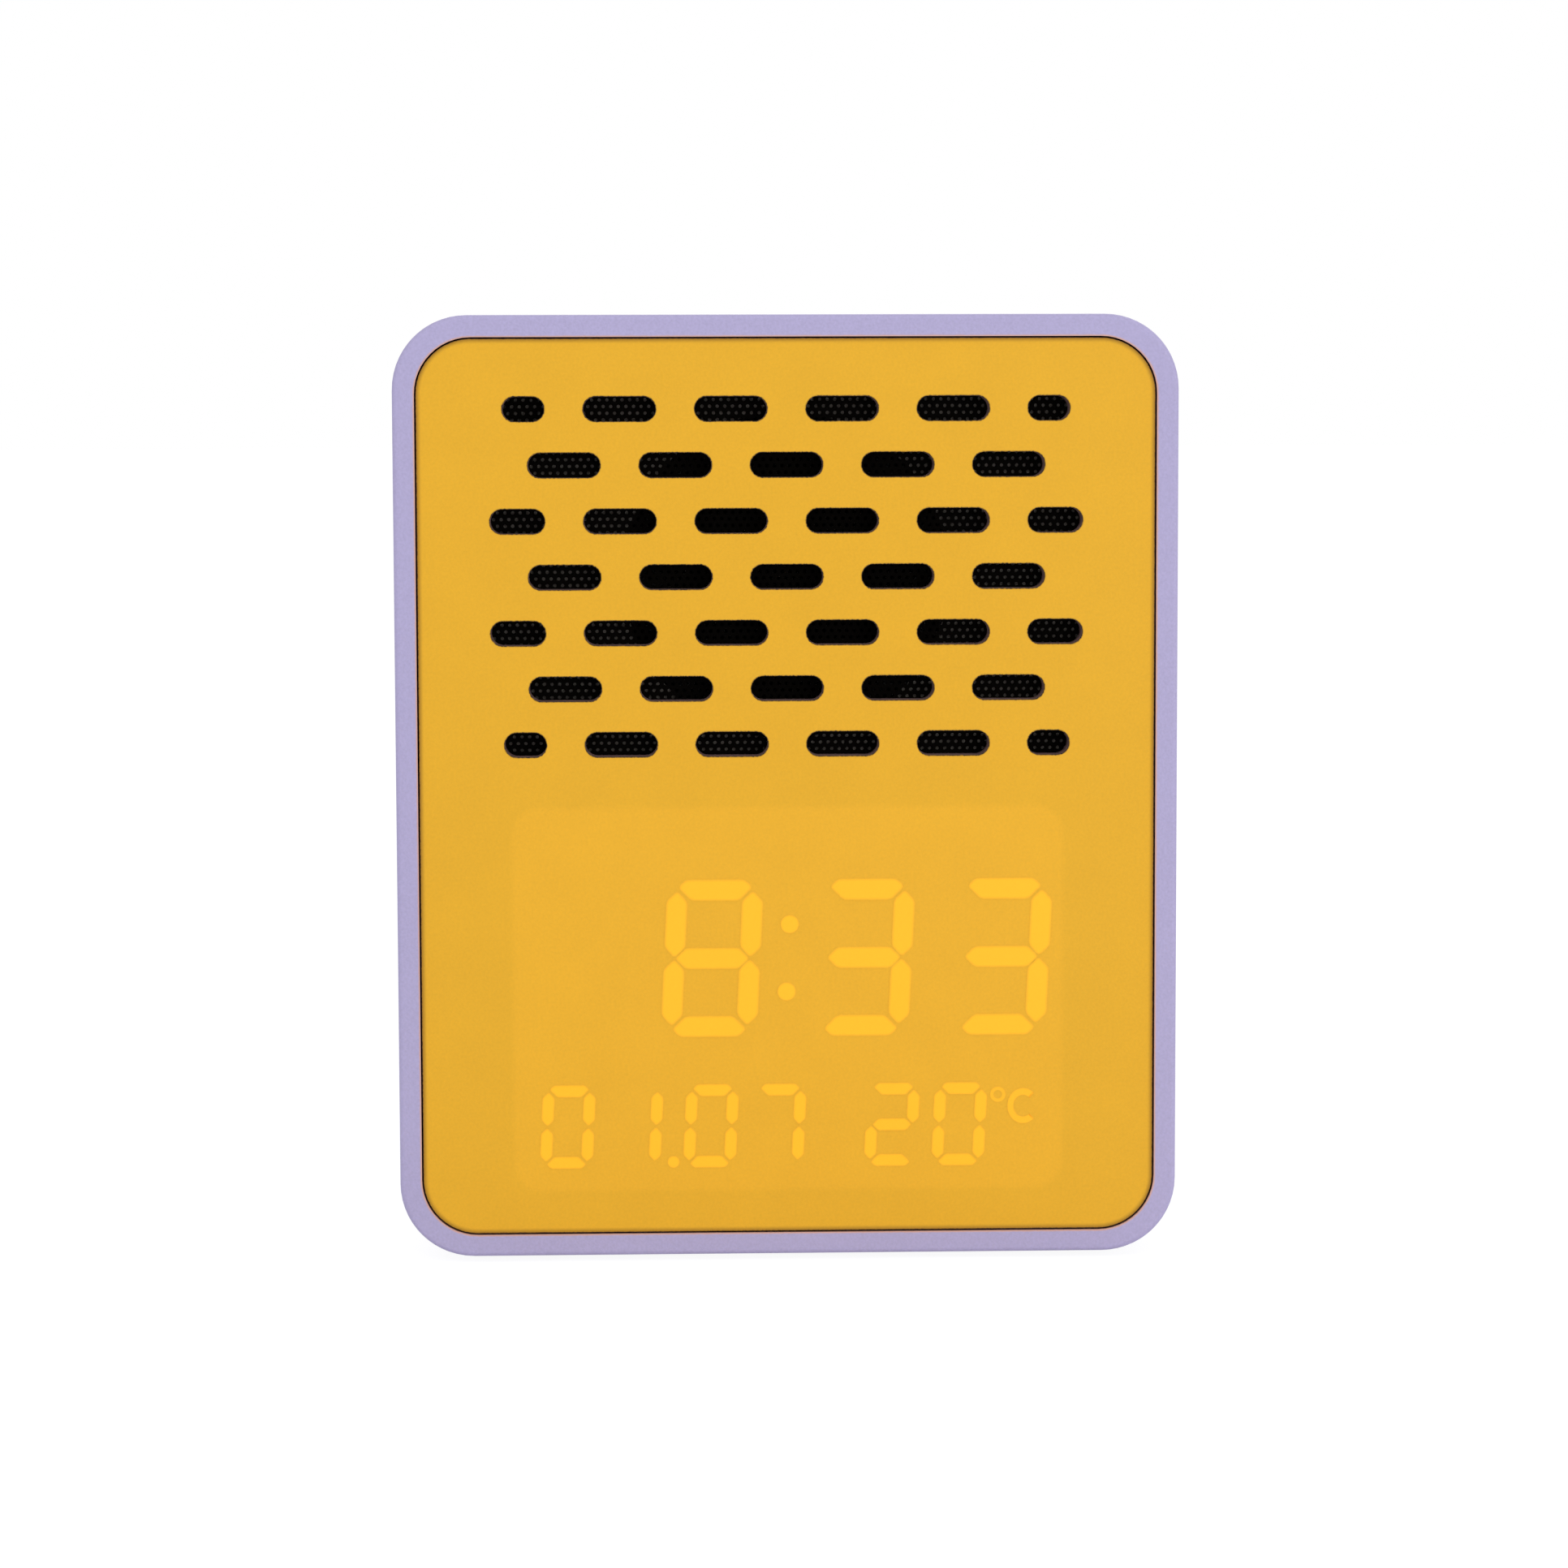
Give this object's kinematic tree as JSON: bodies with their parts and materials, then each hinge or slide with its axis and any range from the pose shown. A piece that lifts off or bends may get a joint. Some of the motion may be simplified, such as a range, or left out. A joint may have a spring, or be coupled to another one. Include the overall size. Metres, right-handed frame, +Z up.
{
  "type": "talking clock",
  "caption": "Talking desk clock: rounded upright case, slotted front over a round speaker and a hidden numeric display, talk key on top, keys and battery cap on the back.",
  "frame": {"origin": "on the table under the middle of the case, at the bottom of the feet", "axes": "+Z up, +Y from the slotted front to the back, +X to the right seen from the front"},
  "size_m": [0.1, 0.06, 0.1214],
  "materials": {
    "case": "pale violet moulded plastic, fine matt grain",
    "board": "pale board, cut edges browned",
    "skin": "amber translucent skin, fine matt grain",
    "mesh": "black perforated mesh",
    "frame": "black moulded plastic",
    "back": "pale violet moulded plastic, fine matt grain",
    "keys": "violet moulded plastic, satin",
    "screws": "zinc-plated steel",
    "reflector": "white reflector block",
    "lit_lens": "cast lens, glowing amber",
    "dark_lens": "cast lens, unlit",
    "lamps": "light-emitting chips",
    "circuit": "green solder resist",
    "foam": "black foam",
    "basket": "black painted pressed steel",
    "surround": "black rubber",
    "cone": "dark pressed paper",
    "coil": "lacquered copper winding",
    "spider": "yellow corrugated cloth",
    "motor_steel": "yellow-passivated steel",
    "magnet": "dark ferrite",
    "terminals": "brown laminate with tinned lugs",
    "chips": "black epoxy",
    "can": "bright steel can",
    "sleeves": "black sleeved cans",
    "switch_body": "black moulded housings",
    "plungers": "black plungers",
    "leads": "grey insulated leads",
    "feet": "black rubber"
  },
  "bodies": {
    "clock": {"case_shell": "case", "front_board": "board", "front_skin": "skin", "grille_mesh": "mesh", "baffle": "frame", "baffle_screws": "screws", "display_reflector": "reflector", "lit_segments": "lit_lens", "dark_segments": "dark_lens", "display_lamps": "lamps", "display_board": "circuit", "display_screws": "screws", "speaker_gasket": "foam", "speaker_basket": "basket", "speaker_surround": "surround", "speaker_spider": "spider", "top_plate": "motor_steel", "speaker_magnet": "magnet", "speaker_yoke": "motor_steel", "speaker_terminals": "terminals", "speaker_screws": "screws", "control_board": "circuit", "control_board_screws": "screws", "controller_chip": "chips", "voice_chip": "chips", "amplifier_chip": "chips", "clock_crystal": "can", "capacitors": "sleeves", "rear_switches": "switch_body", "slide_switches": "switch_body", "socket_shell": "can", "socket_tongue": "chips", "cell_holder": "switch_body", "coin_cell": "can", "temperature_sensor": "chips", "display_ribbon": "leads", "speaker_leads": "leads", "talk_board": "circuit", "talk_board_screws": "screws", "talk_switch": "switch_body", "talk_leads": "leads", "back_cover": "back", "cover_screws": "screws", "rubber_feet": "feet"},
    "talk_key": {"talk_button": "keys", "talk_plunger": "plungers"},
    "set_key": {"set_button": "keys", "set_plunger": "plungers"},
    "up_key": {"up_button": "keys", "up_plunger": "plungers"},
    "down_key": {"down_button": "keys", "down_plunger": "plungers"},
    "alarm_key": {"alarm_button": "keys", "alarm_plunger": "plungers"},
    "alarm_slide": {"alarm_switch_knob": "keys"},
    "volume_slide": {"volume_switch_knob": "keys"},
    "battery_lid": {"battery_cap": "back"},
    "speaker_cone_group": {"speaker_cone": "cone", "dust_cap": "cone", "voice_coil": "coil"}
  },
  "joints": [
    {"name": "talk_press", "type": "slide", "parent": "clock", "child": "talk_key", "axis": [0, 0, -1], "range_m": [0, 0.0005], "stiffness_N_per_m": 1500, "springref_m": -0.0008},
    {"name": "set_press", "type": "slide", "parent": "clock", "child": "set_key", "axis": [0, -1, 0], "range_m": [0, 0.0005], "stiffness_N_per_m": 1500, "springref_m": -0.0006},
    {"name": "up_press", "type": "slide", "parent": "clock", "child": "up_key", "axis": [0, -1, 0], "range_m": [0, 0.0005], "stiffness_N_per_m": 1500, "springref_m": -0.0006},
    {"name": "down_press", "type": "slide", "parent": "clock", "child": "down_key", "axis": [0, -1, 0], "range_m": [0, 0.0005], "stiffness_N_per_m": 1500, "springref_m": -0.0006},
    {"name": "alarm_press", "type": "slide", "parent": "clock", "child": "alarm_key", "axis": [0, -1, 0], "range_m": [0, 0.0005], "stiffness_N_per_m": 1500, "springref_m": -0.0006},
    {"name": "alarm_switch_slide", "type": "slide", "parent": "clock", "child": "alarm_slide", "axis": [1, 0, 0], "range_m": [0, 0.002]},
    {"name": "volume_switch_slide", "type": "slide", "parent": "clock", "child": "volume_slide", "axis": [1, 0, 0], "range_m": [0, 0.002]},
    {"name": "battery_cap_turn", "type": "hinge", "parent": "clock", "child": "battery_lid", "pos_m": [0, 0.0273, 0.0451], "axis": [0, 1, 0], "range_deg": [0, 45]},
    {"name": "cone_stroke", "type": "slide", "parent": "clock", "child": "speaker_cone_group", "axis": [0, 1, 0], "range_m": [-0.001, 0.001], "stiffness_N_per_m": 1200, "deforming": ["speaker_surround", "speaker_spider"]}
  ]
}
